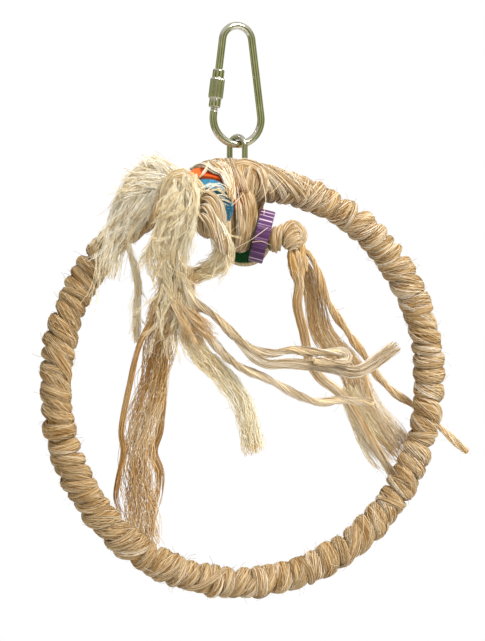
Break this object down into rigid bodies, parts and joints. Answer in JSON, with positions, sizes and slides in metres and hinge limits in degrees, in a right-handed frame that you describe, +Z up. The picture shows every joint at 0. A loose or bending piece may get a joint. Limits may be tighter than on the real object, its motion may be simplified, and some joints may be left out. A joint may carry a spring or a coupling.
{
  "type": "bird rope ring",
  "caption": "Hanging bird toy: a wire hoop bound in sisal hangs by a chain link from a screw-gate quick link and carries a hitched rope with dyed wood slices, knots and frayed tails.",
  "frame": {"origin": "the hang point: the middle of the rod at the top bend of the quick link, a rod radius above the inside face that a cage bar bears on", "axes": "+Z up, the hoop lies in the XZ plane, -Y is the side that the rope's ends, slices and tails hang on"},
  "size_m": [0.225, 0.0672, 0.2764],
  "materials": {
    "nickel_plating": "bright nickel plating",
    "steel_wire": "plain drawn wire",
    "sisal": "loose natural fibre",
    "dark_sisal": "loose natural fibre",
    "pale_sisal": "combed natural fibre",
    "orange_wood": "dyed, satin",
    "blue_wood": "dyed, satin",
    "purple_wood": "dyed, satin",
    "green_wood": "dyed, satin"
  },
  "bodies": {
    "link": {"quick_link": "nickel_plating"},
    "nut": {"quick_link_nut": "nickel_plating"},
    "ring": {"chain_link": "steel_wire", "hoop_wire": "steel_wire", "ring_under_wrap": "dark_sisal", "ring_wrap": "sisal", "toy_rope": "sisal", "front_knot": "sisal", "left_knot": "sisal", "right_knot": "sisal", "left_bundle": "pale_sisal", "left_tuft": "pale_sisal", "left_wisp": "pale_sisal", "left_curl": "pale_sisal", "left_dark_tail": "dark_sisal", "left_pale_tail": "pale_sisal", "left_upper_yarn": "sisal", "left_ribbon": "dark_sisal", "left_lower_yarn": "sisal", "right_inner_tail": "sisal", "right_broad_tail": "sisal", "right_yarn": "sisal"},
    "orange": {"orange_slice": "orange_wood"},
    "blue": {"blue_slice": "blue_wood"},
    "purple": {"purple_slice": "purple_wood"},
    "green": {"green_slice": "green_wood"}
  },
  "joints": [
    {"name": "nut_screw", "type": "slide", "parent": "link", "child": "nut", "axis": [0.127, 0, 0.9919], "range_m": [0, 0.011]},
    {"name": "ring_swing", "type": "hinge", "parent": "link", "child": "ring", "pos_m": [0, 0, -0.0549], "axis": [1, 0, 0], "range_deg": [-60, 60]},
    {"name": "orange_spin", "type": "hinge", "parent": "ring", "child": "orange", "pos_m": [-0.02182, -0.01743, -0.07921], "axis": [-0.2716, -0.7243, -0.6337], "continuous": true},
    {"name": "blue_spin", "type": "hinge", "parent": "ring", "child": "blue", "pos_m": [-0.02438, -0.02423, -0.08517], "axis": [-0.2716, -0.7243, -0.6337], "continuous": true},
    {"name": "purple_spin", "type": "hinge", "parent": "ring", "child": "purple", "pos_m": [0.00768, -0.01278, -0.0991], "axis": [0.9054, -0.342, -0.2515], "continuous": true},
    {"name": "green_spin", "type": "hinge", "parent": "ring", "child": "green", "pos_m": [0.00654, 0.00748, -0.10035], "axis": [-0.4378, -0.8757, 0.2037], "continuous": true}
  ]
}
